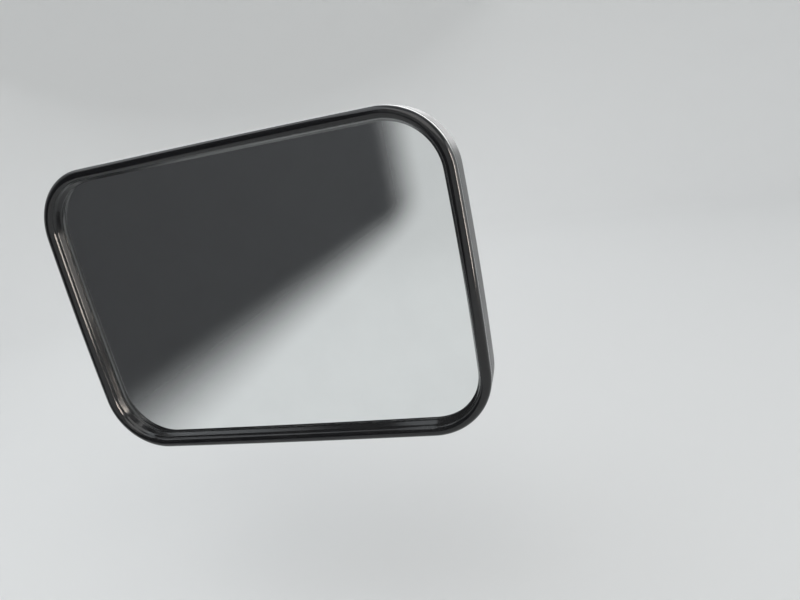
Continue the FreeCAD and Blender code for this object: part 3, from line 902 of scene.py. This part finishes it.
@dataclass
class ArmAssembly(Assembly):
    """Cast arm, ball stud and stud nut. Each section is a share of the reach, a width and a height."""

    body: str = "arm"
    sections: tuple[Corner, ...] = (
        (0.00, 18.0, 22.0), (0.25, 15.5, 19.5), (0.50, 14.0, 18.0), (0.75, 13.5, 17.5), (1.00, 15.0, 18.5))
    bar_steps: int = 40
    edge_r: float = 3.0
    pocket_steps: int = 48
    pocket_rim: float = 3.2
    pocket_web: float = 8.0
    pocket_ends: float = 27.0
    pocket_end_l: float = 6.0
    boss_l: float = 19.0
    boss_r: float = 12.0
    neck_r: float = 5.0
    collar_r: float = 9.0
    collar_t: float = 3.0
    stud_pitch: float = 1.5
    nut_flats: float = 15.0

    def __post_init__(self) -> None:
        """Reads the arm's sizes from its solids."""
        self.reach = BALL.x - FOLD.x
        self.nut_y = low("stud_nut").y
        self.boss_front = self.nut_y - self.boss_l
        self.step = -(self.nut_y + self.boss_front) / 2
        self.eye_r = FOLD.x - low("arm").x
        self.eye_h = high("arm").z

    def line(self, share: float) -> tuple[Vector, Vector]:
        """Gives the bar's middle line.

        Args:
            share: How far along the reach, from 0 to 1.

        Returns:
            The point there, and the level direction square to the line.
        """
        at = Vector((FOLD.x + self.reach * share, -self.step * (1 - math.cos(math.pi * share)) / 2, 0))
        slope = -self.step * math.pi * math.sin(math.pi * share) / 2 / self.reach
        return at, Vector((-slope, 1, 0)).normalized()

    def size_at(self, share: float) -> Point2:
        """Gives the bar's section, straight between the listed ones.

        Args:
            share: How far along the reach, from 0 to 1.

        Returns:
            Its width and height.
        """
        k = next(k for k, section in enumerate(self.sections[1:]) if share <= section[0])
        (s0, w0, h0), (s1, w1, h1) = self.sections[k:k + 2]
        part = (share - s0) / (s1 - s0)
        return w0 + (w1 - w0) * part, h0 + (h1 - h0) * part

    def bar(self) -> Piece:
        """Makes the bar with its long edges rounded.

        Returns:
            The piece.
        """
        rings = []
        for share in spread(0.0, 1.0, self.bar_steps):
            at, side = self.line(share)
            width, height = self.size_at(share)
            outline = oblong((width / 2, -width / 2), (height / 2, -height / 2), self.edge_r)
            rings.append([at + side * u + Z_AXIS * v for u, v in outline])
        return PieceMesh("arm_casting").add_rings(rings).build()

    def pocket(self, sign: int) -> Piece:
        """Makes a tool that cuts a pocket with round ends and drafted walls.

        Args:
            sign: 1 above, -1 below.

        Returns:
            The tool.
        """
        first = self.pocket_ends / self.reach
        last = 1 - first
        bottom, top = self.pocket_web / 2, self.eye_h + 4
        rings = []
        for turn in spread(0.0, math.pi, self.pocket_steps):
            share = first + (last - first) * (0.5 - 0.5 * math.cos(turn))
            at, side = self.line(share)
            half = self.size_at(share)[0] / 2 - self.pocket_rim
            near = min(share - first, last - share) * self.reach
            if near < self.pocket_end_l:
                half *= math.sqrt(max(1 - (1 - near / self.pocket_end_l) ** 2, 0.02))
            foot, mouth = max(half - 0.5, 0.2), half + 0.3
            rings.append([at + side * u + Z_AXIS * (sign * v)
                          for u, v in ((-foot, bottom), (foot, bottom), (mouth, top), (-mouth, top))])
        return PieceMesh("pocket").add_rings(rings).build()

    def casting(self) -> None:
        """Eye, bar and boss in one casting."""
        bar = self.bar()
        combine(bar, [self.pocket(1), self.pocket(-1)], Joining.CUT)
        boss_axis = Axis(Vector((BALL.x, self.boss_front, 0)), Y_AXIS, X_AXIS)
        eye = rod("eye", FOLD_AXIS, self.eye_r, (-self.eye_h, self.eye_h), RING_POINTS)
        boss = rod("boss", boss_axis, self.boss_r, (0.0, self.nut_y - self.boss_front), RING_POINTS)
        combine(bar, [eye, boss], Joining.ADD)
        pin = rod("pin", FOLD_AXIS, BOLT_R + 0.06)
        combine(bar, [pin, rod("hole", boss_axis, self.neck_r + 0.05, (-5.0, 25.0))], Joining.CUT)
        cast(bar)
        self.dress(bar, "arm", COATED)

    def stud(self) -> None:
        """Ball, neck, collar and threaded shank, turned from one bar."""
        ball_r = BALL.y - low("ball_stud").y
        collar = self.boss_front - BALL.y
        rows: Rows = [*arc(ball_r, math.pi - 0.02, math.asin((self.neck_r + 0.9) / ball_r), 40)]
        height, radius = rows[-1]
        rows += rounded([(height, radius, 0), (height + 0.8, self.neck_r, 1.2),
                         (collar - self.collar_t, self.neck_r, 1.6), (collar - self.collar_t, self.collar_r, 0.6),
                         (collar, self.collar_r, 0.4), (collar, self.neck_r, 0)], closed=False, steps=6)[1:]
        rows += thread_rows(self.neck_r, self.stud_pitch, self.nut_y - BALL.y - 4.0, high("ball_stud").y - BALL.y)
        self.dress(turned("ball_stud_turned", BALL_AXIS, rows, RING_POINTS), "ball_stud", TURNED_STEEL)

    def nut(self) -> None:
        """Plain nut on the stud."""
        height = high("stud_nut").y - self.nut_y
        mouth = self.neck_r + 0.6
        rows = [(0.4, self.neck_r), (0.0, mouth), *hex_rows(self.nut_flats, 0.0, height), (height, mouth),
                (height - 0.4, self.neck_r)]
        axis = Axis(Vector((BALL.x, self.nut_y, 0)), Y_AXIS, X_AXIS)
        self.dress(turned("stud_nut_hex", axis, rows, RING_POINTS, looped=True), "stud_nut", ZINC)

    def build(self) -> None:
        """Makes every piece of the arm."""
        self.casting()
        self.stud()
        self.nut()


# Friction ring


@dataclass
class RingAssembly(Assembly):
    """Split nylon ring round the ball. Its bore narrows from the middle to both ends, as the ball does."""

    body: str = "ring"
    play: float = 0.1
    split: float = 1.6
    bore_share: float = 1.064
    bore_fall: float = 0.364
    end_share: float = 0.866
    side_share: float = 0.4

    def build(self) -> None:
        """Makes the ring with eased corners and its split."""
        half_l = high("friction_ring").y - BALL.y
        outer = high("friction_ring").z - BALL.z
        side_l, end_r = half_l * self.side_share, outer * self.end_share
        middle = (BALL.y - low("ball_stud").y + self.play) * self.bore_share
        inner_end = middle - half_l * self.bore_fall
        rows = rounded([(half_l, end_r, 0.4), (side_l, outer, 0.6), (-side_l, outer, 0.6), (-half_l, end_r, 0.4),
                        (-half_l, inner_end, 0.3), (0.0, middle, 0.6), (half_l, inner_end, 0.3)], steps=3)
        gap = self.split / 2 / outer
        mesh = PieceMesh("friction_ring_split")
        mesh.add_turned(BALL_AXIS, rows, RING_POINTS, looped=True, span=(gap, FULL - gap))
        self.dress(mesh.build(), "friction_ring", NYLON)


# Head


@dataclass
class HeadAssembly(Assembly):
    """Housing, rim, glass and the ball's socket.

    A station is a place on the head's outline: X and Z of a point, then X and Z of its outward direction.
    """

    body: str = "head"
    corner_r: float = 38.0
    side_bow: float = 2.0
    top_bow: float = 0.8
    corner_steps: int = 30
    edge_steps: int = 14
    bead_w: float = 6.5
    bead_back: float = 2.5
    bead_steps: int = 26
    lip_in: float = 7.8
    lip_t: float = 1.0
    glass_lap: float = 2.3
    glass_play: float = 0.3
    skirt_t: float = 1.6
    skirt_play: float = 0.25
    wall: float = 2.6
    draft: float = 2.0
    side_round: float = 18.0
    back_round: float = 55.0
    round_change: float = 75.0
    back_gap: float = 5.0
    socket_r: float = 25.0
    socket_skirt: float = 8.0
    socket_depth: float = 18.0
    well: tuple[Point2, ...] = ((2.0, 14.0), (14.0, 13.5), (14.5, 1.0))
    slot_x: float = 62.0
    slot_back: float = 9.0
    slot_w: float = 12.0
    slot_t: float = 3.0
    slot_r: float = 1.4
    cap_foot_r: float = 14.2
    cap_mouth_r: float = 14.7
    cap_throat: tuple[Corner, ...] = ((6.8, 11.7, 0.5), (3.4, 13.5, 0.0))
    screw_pcd: float = 39.0
    screw_hole_r: float = 2.1
    screw_head_r: float = 3.8
    screw_head_h: float = 3.0
    cross_l: float = 2.3
    cross_t: float = 0.55
    cross_depth: float = 1.5
    stations: list[tuple[float, float, float, float]] = field(default_factory=list)

    def __post_init__(self) -> None:
        """Reads the head's sizes from its solids and lays out its outline."""
        self.half_w = (high("rim").x - low("rim").x) / 2
        self.half_h = high("rim").z
        self.joint_y = low("housing_shell").y
        self.bead_y = self.joint_y - self.bead_back
        self.back_y = BALL.y - self.back_gap
        self.glass_y, self.glass_back = low("mirror_glass").y, high("mirror_glass").y
        self.lay_out()

    def lay_out(self) -> None:
        """Lays stations along the four bowed edges and the four corners, which meet in tangents."""
        side_r = (self.half_h ** 2 + self.side_bow ** 2) / (2 * self.side_bow)
        top_r = (self.half_w ** 2 + self.top_bow ** 2) / (2 * self.top_bow)
        side_c = Vector((self.half_w - side_r, 0))
        top_c = Vector((0, self.half_h - top_r))
        near, far = side_r - self.corner_r, top_r - self.corner_r
        apart = (top_c - side_c).length
        along = (near ** 2 - far ** 2 + apart ** 2) / (2 * apart)
        off = math.sqrt(near ** 2 - along ** 2)
        unit = (top_c - side_c) / apart
        corner = side_c + unit * along + Vector((-unit.y, unit.x)) * off
        side_turn = math.atan2(*(corner - side_c).yx)
        top_turn = math.atan2(*(corner - top_c).yx)
        quarter = []
        for centre, radius, first, last, steps in ((side_c, side_r, 0.0, side_turn, self.edge_steps),
                                                   (corner, self.corner_r, side_turn, top_turn, self.corner_steps),
                                                   (top_c, top_r, top_turn, QUARTER, self.edge_steps)):
            for angle in spread(first, last, steps)[:-1]:
                u, v = math.cos(angle), math.sin(angle)
                quarter.append((centre.x + radius * u, centre.y + radius * v, u, v))
        upper = [*quarter, (0.0, self.half_h, 0.0, 1.0), *[(-x, z, -u, v) for x, z, u, v in reversed(quarter[1:])]]
        lower = [(x, -z, u, -v) for x, z, u, v in reversed(upper[1:])]
        self.stations = [*upper, (-self.half_w, 0.0, -1.0, 0.0), *lower]

    def ring_at(self, inset: float, y: float) -> list[Vector]:
        """The outline drawn in by an inset, at a depth."""
        return [Vector((BALL.x + x - u * inset, y, z - v * inset)) for x, z, u, v in self.stations]

    def circle_at(self, radius: float, y: float) -> list[Vector]:
        """A circle round the ball's axis, with one point for each station."""
        angles = [math.atan2(z, x) for x, z, _, _ in self.stations]
        return [Vector((BALL.x + radius * math.cos(angle), y, radius * math.sin(angle))) for angle in angles]

    def wall_rows(self, depth: float) -> list[Point2]:
        """Follows the housing's side from the joint to the flat back.

        Args:
            depth: Depth in the wall, 0 for the outside.

        Returns:
            Inset and Y of each row.
        """
        draft, change = math.radians(self.draft), math.radians(self.round_change)
        shell = self.back_y - self.joint_y
        side_l = (shell - self.side_round * (math.sin(change) - math.sin(draft))
                  - self.back_round * (1 - math.sin(change))) / math.cos(draft)
        end = (side_l * math.sin(draft), side_l * math.cos(draft))
        small = (end[0] + self.side_round * math.cos(draft), end[1] - self.side_round * math.sin(draft))
        apart = self.back_round - self.side_round
        wide = (small[0] + apart * math.cos(change), small[1] - apart * math.sin(change))
        rows = [(depth / math.cos(draft), 0.0)]
        for centre, radius, first, last, steps in ((small, self.side_round, draft, change, 14),
                                                   (wide, self.back_round, change, QUARTER, 7)):
            for inset, y in arc(radius - depth, first, last, steps):
                rows.append((centre[0] - inset, centre[1] + y))
        return [(inset, self.joint_y + y) for inset, y in rows]

    def housing(self) -> None:
        """Moulded housing in one closed skin: outside with an eased edge, ball socket, and inside."""
        outer, inner = self.wall_rows(0.0), self.wall_rows(self.wall)
        joint, end = self.joint_y, outer[1]
        rows = [(inner[0][0], joint), (0.12, joint), (0.03, joint + 0.03), (0.01, joint + 0.12)]
        rows += [(end[0] * k / 6, joint + (end[1] - joint) * k / 6) for k in range(1, 6)]
        rings = [self.ring_at(*row) for row in [*rows, *outer[1:]]]
        foot = self.socket_r + self.socket_skirt + 6
        boss = rounded([(self.back_y, foot, 0), (self.back_y, self.socket_r + 0.4, 5.0),
                        (BALL.y - 0.3, self.socket_r, 0.0), (BALL.y, self.socket_r - 0.3, 0.0), (BALL.y, 15.0, 0.0)],
                       closed=False, steps=8)
        end_y = BALL.y - self.socket_depth
        boss += [(BALL.y - depth, radius) for depth, radius in self.well]
        boss += [(end_y, 1.0), (end_y, self.socket_r), (self.back_y - self.wall, self.socket_r)]
        rings += [self.circle_at(radius, y) for y, radius in boss]
        rings += [self.ring_at(*row) for row in reversed(inner[1:])]
        made = PieceMesh("housing_moulding").add_rings(rings, looped=True).build()
        slots = []
        for side in (-1, 1):
            x, y = BALL.x + side * self.slot_x, joint + self.slot_back
            plan = oblong((x - self.slot_w / 2, x + self.slot_w / 2), (y, y + self.slot_t), self.slot_r, 4)
            slots.append(prism("slot", plan, -self.half_h - 5, -self.half_h + 12))
        combine(made, slots, Joining.CUT)
        shade(made)
        self.dress(made, "housing_shell", HOUSING)

    def rim(self) -> None:
        """Bead, lip and skirt: a rounded section swept round the outline."""
        draft = math.radians(self.draft)
        depth = high("rim").y
        root = self.wall / math.cos(draft) + self.skirt_play
        tip = root + (depth - self.joint_y) * math.tan(draft)
        inner = tip + self.skirt_t
        seat = self.lip_in - self.glass_lap - self.glass_play
        half = self.bead_w / 2
        bead = [(half - inset, self.bead_y - y) for inset, y in arc(half, 0.0, math.pi, self.bead_steps)[:-1]]
        lip = rounded([(self.bead_w - 0.02, self.bead_y - 0.4, 0), (self.bead_w + 0.1, self.bead_y + 0.9, 2.2),
                       (self.lip_in, self.glass_y - self.lip_t, 0.5), (self.lip_in, self.glass_y, 0.35),
                       (seat, self.glass_y, 0), (seat, self.glass_back, 0.3), (inner, self.glass_back, 0.3),
                       (inner, depth, 0.5), (tip, depth, 0.5), (root, self.joint_y, 0.3), (0.12, self.joint_y, 0)],
                      closed=False, steps=4)
        rows = [*bead, *lip, (0.03, self.joint_y - 0.03), (0.0, self.joint_y - 0.12)]
        mesh = PieceMesh("rim_bead").add_rings([self.ring_at(*row) for row in rows], looped=True)
        self.dress(mesh.build(), "rim", GLOSS_RIM)

    def glass(self) -> None:
        """Silvered pane with a ground edge."""
        seat = self.lip_in - self.glass_lap
        ground = [(0.6, 0.0), (0.18, 0.18), (0.0, 0.6)]
        rows = [(seat + inset, self.glass_y + y) for inset, y in ground]
        rows += [(seat + inset, self.glass_back - y) for inset, y in reversed(ground)]
        made = PieceMesh("mirror_pane").add_rings([self.ring_at(*row) for row in rows]).build()
        shade(made, 5.0)
        self.dress(made, "mirror_glass", MIRROR_FACE)

    def cap(self) -> None:
        """Ring over the ball with a flared mouth and four sunk screws."""
        top = high("socket_cap").y - BALL.y
        seat = top - self.screw_head_h
        rows = rounded([(0.0, self.cap_foot_r, 0), (0.0, self.socket_r, 0.4), (top - 2.0, self.socket_r, 0.8),
                        (top, self.socket_r - 2.0, 0.8), (top, self.cap_mouth_r, 0.6), *self.cap_throat])
        cap = turned("socket_cap_ring", BALL_AXIS, rows, 128, looped=True)
        well = [(-1.0, self.screw_hole_r), (seat, self.screw_hole_r), (seat, 4.2), (top - 0.3, 4.2), (top + 0.5, 5.0)]
        turns = [math.radians(45 + 90 * k) for k in range(4)]
        places = [Axis(BALL + Vector((math.cos(turn), 0, math.sin(turn))) * (self.screw_pcd / 2), Y_AXIS, X_AXIS)
                  for turn in turns]
        combine(cap, [turned("well", place, well, 48) for place in places], Joining.CUT)
        shade(cap)
        self.dress(cap, "socket_cap", COATED)
        for k, place in enumerate(places, 1):
            self.dress(self.screw("socket_screw_%d" % k, place, top), "socket_screws", BLACK_OXIDE)

    def screw(self, name: str, place: Axis, top: float) -> Piece:
        """Makes a pan head screw with a cross recess, its head flush with the cap and turned its own way.

        Args:
            name: Name of the piece.
            place: Its axis, from the level of the ball's centre.
            top: Height of the cap's face.

        Returns:
            The piece.
        """
        seat = top - self.screw_head_h
        end = low("socket_screws").y - BALL.y
        rows = rounded([(end, 0.3, 0), (end + 1.2, 1.9, 0.3), (seat, 2.0, 0), (seat, self.screw_head_r, 0.3),
                        (seat + 1.6, self.screw_head_r, 1.0), (top - 0.05, 2.2, 1.5), (top, 0.3, 0)], closed=False)
        made = turned(name, place, rows, 48)
        x, y, z = place.at
        deep = (y + top - self.cross_depth, y + top + self.cross_depth)
        crosses = [prism("cross", oblong((x - half, x + half), deep), z - tall, z + tall)
                   for half, tall in ((self.cross_l, self.cross_t), (self.cross_t, self.cross_l))]
        combine(made, crosses, Joining.CUT)
        off = place.at - BALL
        spin = Matrix.Rotation(off.x * 0.07 + off.z * 0.11, 4, "Y")
        centre = Matrix.Translation(place.at * MM)
        made.data.transform(centre @ spin @ centre.inverted())
        shade(made)
        return made

    def build(self) -> None:
        """Makes every piece of the head."""
        self.housing()
        self.rim()
        self.glass()
        self.cap()


# Stage


def matt(name: str, colour: Colour, specular: float) -> bpy.types.Material:
    """Makes a plain matt material for the stage.

    Args:
        name: Its name.
        colour: Its linear colour.
        specular: Its gloss level.

    Returns:
        The material.
    """
    made = bpy.data.materials.new(name)
    made.use_nodes = True
    shader = made.node_tree.nodes["Principled BSDF"]
    shader.inputs["Base Color"].default_value = (*colour, 1.0)
    shader.inputs["Roughness"].default_value = 0.9
    shader.inputs["Specular IOR Level"].default_value = specular
    return made


@dataclass(frozen=True)
class SoftBox:
    """A soft lamp with its place, size and power, aimed at the head. It may light glossy surfaces alone."""

    name: str
    at: Corner
    size: Point2
    power: float
    colour: Colour = (1.0, 1.0, 1.0)
    only_gloss: bool = False
    target: Corner = (0.19, -0.11, 0.0)

    def build(self) -> None:
        """Adds the lamp."""
        data = bpy.data.lights.new(self.name, "AREA")
        data.shape = "RECTANGLE"
        data.size, data.size_y = self.size
        data.energy = self.power
        data.color = self.colour
        lamp = bpy.data.objects.new(self.name, data)
        lamp.location = self.at
        lamp.rotation_euler = (Vector(self.target) - Vector(self.at)).to_track_quat("-Z", "Y").to_euler()
        lamp.visible_camera = False
        lamp.visible_diffuse = not self.only_gloss
        bpy.context.scene.collection.objects.link(lamp)


@dataclass(frozen=True)
class Studio:
    """Pale floor with a rounded wall, soft lamps, a dark panel to reflect, and the camera, in metres."""

    floor_z: float = -0.30
    floor_r: float = 2.3
    cove_r: float = 0.7
    wall_top: float = 2.6
    floor_colour: Colour = (0.74, 0.74, 0.73)
    panel_x: float = -0.15
    panel_y: Point2 = (-2.0, -0.2)
    panel_h: float = 1.4
    panel_lift: float = 0.02
    panel_fade: float = 0.14
    panel_colour: Colour = (0.035, 0.036, 0.04)
    sky: Colour = (0.80, 0.84, 0.90)
    sky_strength: float = 0.6
    camera_at: Corner = (0.37245, -0.4169, 0.0833)
    camera_right: Corner = (0.95, 0.248, -0.192)
    camera_up: Corner = (0.105, 0.324, 0.94)
    lens: float = 27.0
    lamps: tuple[SoftBox, ...] = (
        SoftBox("key_lamp", (1.1, -1.2, 1.5), (1.8, 1.8), 16.0, (1.0, 0.98, 0.95)),
        SoftBox("strip_lamp", (1.3, -0.30, 0.04), (0.08, 0.64), 7.5, (1.0, 0.88, 0.77), only_gloss=True),
        SoftBox("side_lamp", (1.5, 0.1, 0.15), (1.0, 0.9), 4.0, only_gloss=True),
        SoftBox("edge_lamp", (-0.1, 1.7, 0.45), (2.5, 0.6), 9.0, only_gloss=True),
        SoftBox("top_lamp", (-0.5, -0.5, 1.7), (2.0, 1.6), 12.0, (0.93, 0.97, 1.0)),
        SoftBox("rear_lamp", (-0.5, 1.4, 1.15), (2.0, 1.4), 10.0, (0.96, 0.98, 1.0)))

    def backdrop(self) -> None:
        """Round floor that curves up into a wall. The face that would close it at the top is left out."""
        profile = rounded([(self.floor_z, 0.02, 0), (self.floor_z, self.floor_r, self.cove_r),
                           (self.wall_top, self.floor_r, 0)], closed=False, steps=16)
        axis = Axis(Vector((190.0, -110.0, 0.0)), Z_AXIS, X_AXIS)
        mesh = PieceMesh("studio_floor").add_turned(axis, [(z / MM, radius / MM) for z, radius in profile], 128)
        mesh.faces.pop()
        floor = mesh.build()
        floor.data.materials.append(matt("pale_floor", self.floor_colour, 0.0))

    def panel(self) -> None:
        """Upright dark panel beside the head with soft edges, which only reflections see."""
        far, near = self.panel_y
        foot, top = self.floor_z + self.panel_lift, self.floor_z + self.panel_h
        mesh = PieceMesh("dark_panel", [Vector((self.panel_x, y, z)) / MM for y, z in
                                        ((far, foot), (near, foot), (near, top), (far, top))], [(0, 1, 2, 3)])
        made = mesh.build()
        made.visible_camera = made.visible_diffuse = made.visible_shadow = False
        material = matt("dark_panel", self.panel_colour, 0.5)
        nodes = Nodes(material.node_tree)
        place = nodes.add("SeparateXYZ", Vector=nodes.add("TexCoord").outputs["Object"]).outputs
        rising = nodes.ranged(place["Z"], foot, foot + self.panel_fade)
        ending = nodes.ranged(place["Y"], far, far + 4 * self.panel_fade)
        starting = nodes.ranged(place["Y"], near, near - self.panel_fade)
        alpha = material.node_tree.nodes["Principled BSDF"].inputs["Alpha"]
        nodes.put(alpha, nodes.product(starting, ending, rising))
        made.data.materials.append(material)

    def world(self) -> None:
        """Even pale sky."""
        world = bpy.data.worlds.new("pale_sky")
        world.use_nodes = True
        ground = world.node_tree.nodes["Background"]
        ground.inputs["Color"].default_value = (*self.sky, 1.0)
        ground.inputs["Strength"].default_value = self.sky_strength
        bpy.context.scene.world = world

    def camera(self) -> None:
        """Camera at the photograph's viewing angle."""
        right = Vector(self.camera_right).normalized()
        back = right.cross(Vector(self.camera_up)).normalized()
        data = bpy.data.cameras.new("camera")
        data.lens = self.lens
        data.clip_start, data.clip_end = 0.01, 60.0
        made = bpy.data.objects.new("camera", data)
        turn = Matrix((right, back.cross(right), back)).transposed()
        made.matrix_world = Matrix.Translation(self.camera_at) @ turn.to_4x4()
        bpy.context.scene.collection.objects.link(made)
        bpy.context.scene.camera = made

    def build(self) -> None:
        """Sets the stage."""
        self.backdrop()
        self.panel()
        self.world()
        for lamp in self.lamps:
            lamp.build()
        self.camera()
        bpy.context.scene.view_settings.view_transform = "Standard"


def main() -> None:
    """Builds the mirror and the stage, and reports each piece."""
    logging.basicConfig(level=logging.INFO, format="%(name)s: %(message)s")
    for assembly in (HeadAssembly(), RingAssembly(), ArmAssembly(), ClampAssembly()):
        assembly.build()
        assembly.report()
    Studio().build()


if __name__ == "__main__":
    main()
